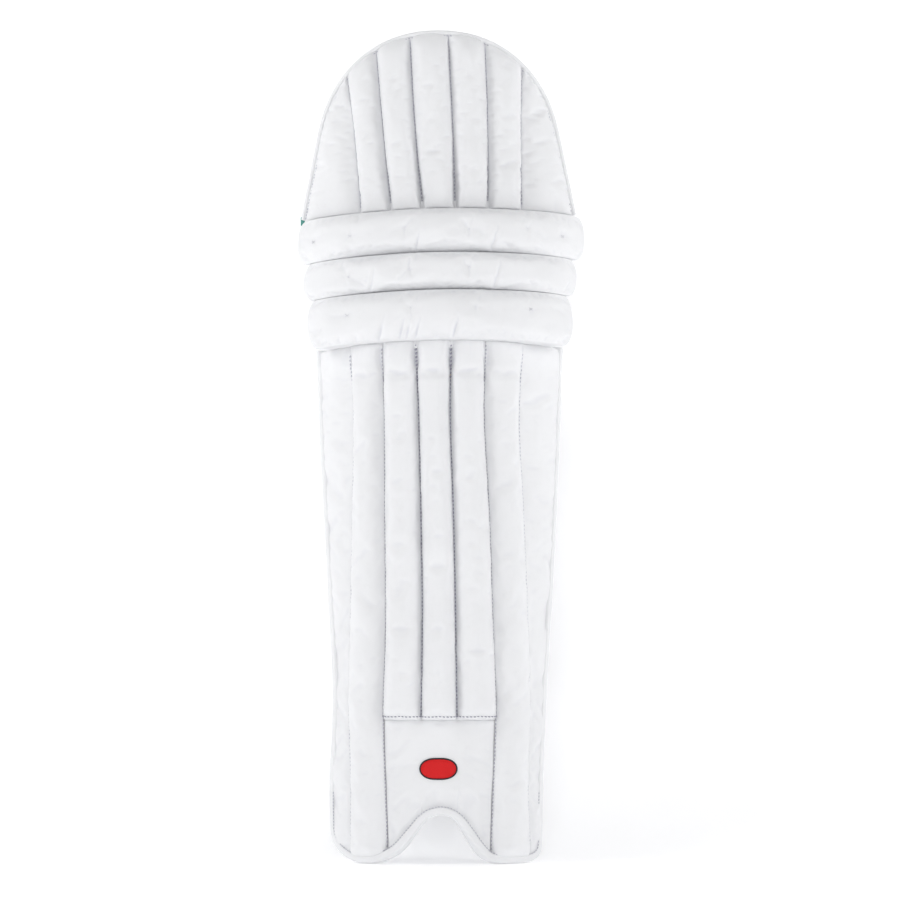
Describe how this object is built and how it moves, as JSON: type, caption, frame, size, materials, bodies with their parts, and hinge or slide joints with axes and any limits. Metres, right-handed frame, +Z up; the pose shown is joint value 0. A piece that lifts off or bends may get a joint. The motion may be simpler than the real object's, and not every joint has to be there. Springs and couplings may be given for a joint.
{
  "type": "cricket batting pad",
  "caption": "Right-leg cricket batting pad with channelled shin face, padded knee rolls, top hat, calf wing and wrap-round fastening straps.",
  "frame": {"origin": "on the axis of the wearer's shin, level with the lowest point of the two foot lobes", "axes": "+Z up along the shin, +X to the viewer's right (the inner side of a right leg), +Y back towards the calf, so the padded face looks along -Y"},
  "size_m": [0.2464, 0.2025, 0.7239],
  "materials": {
    "white_cover": "satin white coated fabric",
    "binding_tape": "satin white coated tape",
    "foam": "matt closed-cell foam",
    "cane": "natural cane",
    "knit_lining": "matt knitted mesh",
    "bolster_cloth": "matt brushed cloth",
    "webbing": "woven strap",
    "hook_and_loop": "hook and loop pile",
    "green_trim": "woven green tape",
    "badge_red": "embroidered red twill"
  },
  "bodies": {
    "shin_guard": {"shin_board": "foam", "shin_lining": "knit_lining", "shin_face_centre": "white_cover", "shin_face_outer": "white_cover", "shin_face_inner": "white_cover", "instep_panel": "white_cover", "instep_foam": "foam", "badge": "badge_red", "shin_canes": "cane", "centre_foam_bars": "foam", "side_foam_bars": "foam", "shin_bolster_outer": "bolster_cloth", "shin_bolster_inner": "bolster_cloth", "foot_binding": "binding_tape", "side_bindings": "binding_tape", "wing_hinge_cord": "green_trim", "strap_anchors": "webbing"},
    "lower_roll": {"lower_roll_cover": "white_cover", "lower_roll_foam": "foam", "lower_roll_canes": "cane", "lower_roll_board": "foam", "lower_knee_bolster": "bolster_cloth"},
    "middle_roll": {"middle_roll_cover": "white_cover", "middle_roll_foam": "foam", "middle_roll_canes": "cane", "middle_roll_board": "foam", "middle_knee_bolster": "bolster_cloth"},
    "upper_roll": {"upper_roll_cover": "white_cover", "upper_roll_foam": "foam", "upper_roll_canes": "cane", "upper_roll_board": "foam", "upper_knee_bolster": "bolster_cloth"},
    "top_hat": {"hat_cover": "white_cover", "hat_foam_bars": "foam", "hat_board": "foam", "hat_lining": "knit_lining", "hat_binding": "binding_tape", "corner_tag": "green_trim"},
    "wing": {"wing_cover": "white_cover", "wing_foam": "foam", "wing_lining": "knit_lining", "wing_binding": "binding_tape", "loop_patches": "hook_and_loop"},
    "ankle_strap": {"ankle_strap_band": "webbing", "ankle_strap_pad": "knit_lining"},
    "ankle_tab": {"ankle_strap_tab": "webbing", "ankle_hook_patch": "hook_and_loop"},
    "calf_strap": {"calf_strap_band": "webbing", "calf_strap_pad": "knit_lining"},
    "calf_tab": {"calf_strap_tab": "webbing", "calf_hook_patch": "hook_and_loop"},
    "knee_strap": {"knee_strap_band": "webbing", "knee_strap_pad": "knit_lining"},
    "knee_tab": {"knee_strap_tab": "webbing", "knee_hook_patch": "hook_and_loop"}
  },
  "joints": [
    {"name": "knee_flex", "type": "hinge", "parent": "shin_guard", "child": "lower_roll", "pos_m": [0, -0.04222, 0.44494], "axis": [-1, 0, 0], "range_deg": [0, 8]},
    {"name": "middle_roll_flex", "type": "hinge", "parent": "lower_roll", "child": "middle_roll", "pos_m": [0, -0.0383, 0.48977], "axis": [-1, 0, 0], "range_deg": [0, 8]},
    {"name": "upper_roll_flex", "type": "hinge", "parent": "middle_roll", "child": "upper_roll", "pos_m": [0, -0.03547, 0.52215], "axis": [-1, 0, 0], "range_deg": [0, 8]},
    {"name": "top_hat_fold", "type": "hinge", "parent": "upper_roll", "child": "top_hat", "pos_m": [0, -0.02817, 0.55966], "axis": [-1, 0, 0], "range_deg": [0, 20]},
    {"name": "wing_wrap", "type": "hinge", "parent": "shin_guard", "child": "wing", "pos_m": [-0.07206, -0.05388, 0.09984], "axis": [-0.0276, 0.0899, 0.9956], "range_deg": [-35, 0]},
    {"name": "ankle_strap_swing", "type": "hinge", "parent": "shin_guard", "child": "ankle_strap", "pos_m": [0.08634, -0.0523, 0.105], "axis": [0, 0, -1], "range_deg": [0, 95]},
    {"name": "ankle_tab_peel", "type": "hinge", "parent": "ankle_strap", "child": "ankle_tab", "pos_m": [-0.06692, 0.0404, 0.105], "axis": [0, 0, 1], "range_deg": [-60, 0]},
    {"name": "calf_strap_swing", "type": "hinge", "parent": "shin_guard", "child": "calf_strap", "pos_m": [0.08989, -0.03907, 0.262], "axis": [0, 0, -1], "range_deg": [0, 95]},
    {"name": "calf_tab_peel", "type": "hinge", "parent": "calf_strap", "child": "calf_tab", "pos_m": [-0.06692, 0.0404, 0.262], "axis": [0, 0, 1], "range_deg": [-60, 0]},
    {"name": "knee_strap_swing", "type": "hinge", "parent": "shin_guard", "child": "knee_strap", "pos_m": [0.09136, -0.02698, 0.405], "axis": [0, 0, -1], "range_deg": [0, 95]},
    {"name": "knee_tab_peel", "type": "hinge", "parent": "knee_strap", "child": "knee_tab", "pos_m": [-0.06692, 0.0404, 0.405], "axis": [0, 0, 1], "range_deg": [-60, 0]}
  ],
  "couplings": [
    {"joint": "middle_roll_flex", "follows": "knee_flex", "ratio": 1},
    {"joint": "upper_roll_flex", "follows": "knee_flex", "ratio": 1}
  ]
}
